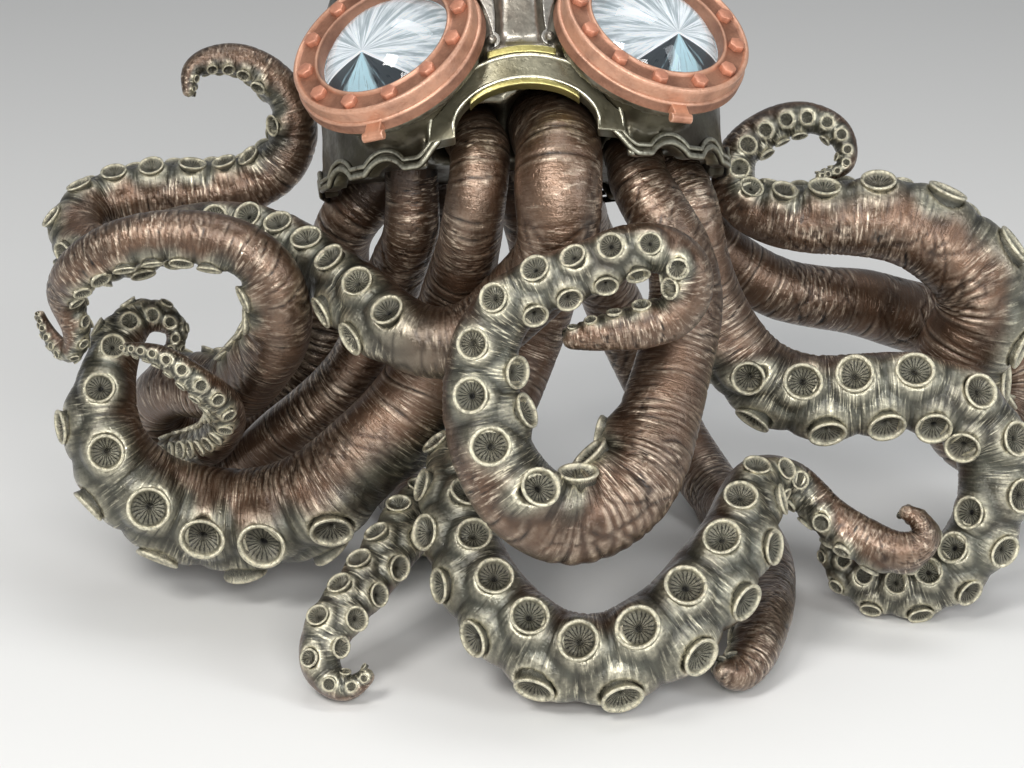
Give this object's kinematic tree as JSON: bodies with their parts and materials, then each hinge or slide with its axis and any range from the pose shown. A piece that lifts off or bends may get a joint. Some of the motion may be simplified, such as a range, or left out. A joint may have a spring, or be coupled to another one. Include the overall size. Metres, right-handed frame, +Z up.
{
  "type": "octopus figurine",
  "caption": "Free-standing bronze-look octopus ornament with a hooded head, bolted copper porthole goggles with glass domes, and long curling suckered arms.",
  "frame": {"origin": "centre of the bounding box on the table surface, under the arms", "axes": "+X to the viewer's right along the width, -Y towards the viewer that the face looks at, +Z up"},
  "size_m": [0.3264, 0.1966, 0.2242],
  "materials": {
    "arm_bronze": "cold-cast bronze with a brown patina, rubbed bright on the raised parts",
    "hood_bronze": "cold-cast bronze with a grey-olive patina",
    "band_bronze": "grey-olive bronze, rubbed paler than the hood",
    "trim_brass": "yellow brass rub",
    "porthole_copper": "matte copper with dark stains and worn edges",
    "silver_foil": "crumpled silver foil",
    "lens_glass": "clear polished glass dome"
  },
  "bodies": {
    "root": {"helmet": "hood_bronze", "arm_crown": "hood_bronze", "collar_band": "band_bronze", "lip_trim": "trim_brass", "brow_bar": "trim_brass", "strap_rivets": "band_bronze", "nose_strap_left": "band_bronze", "porthole_flange_left": "porthole_copper", "porthole_rim_left": "porthole_copper", "rim_bolts_left": "porthole_copper", "rim_latch_left": "porthole_copper", "eye_disc_left": "silver_foil", "lens_left": "lens_glass", "nose_strap_right": "band_bronze", "porthole_flange_right": "porthole_copper", "porthole_rim_right": "porthole_copper", "rim_bolts_right": "porthole_copper", "rim_latch_right": "porthole_copper", "eye_disc_right": "silver_foil", "lens_right": "lens_glass", "arm_left_outer": "arm_bronze", "arm_left_inner": "arm_bronze", "arm_left_front": "arm_bronze", "arm_center_left": "arm_bronze", "arm_center_right": "arm_bronze", "arm_right_front": "arm_bronze", "arm_right_inner": "arm_bronze", "arm_right_outer": "arm_bronze", "arm_rear_left": "arm_bronze", "arm_rear_right": "arm_bronze"}
  },
  "joints": []
}
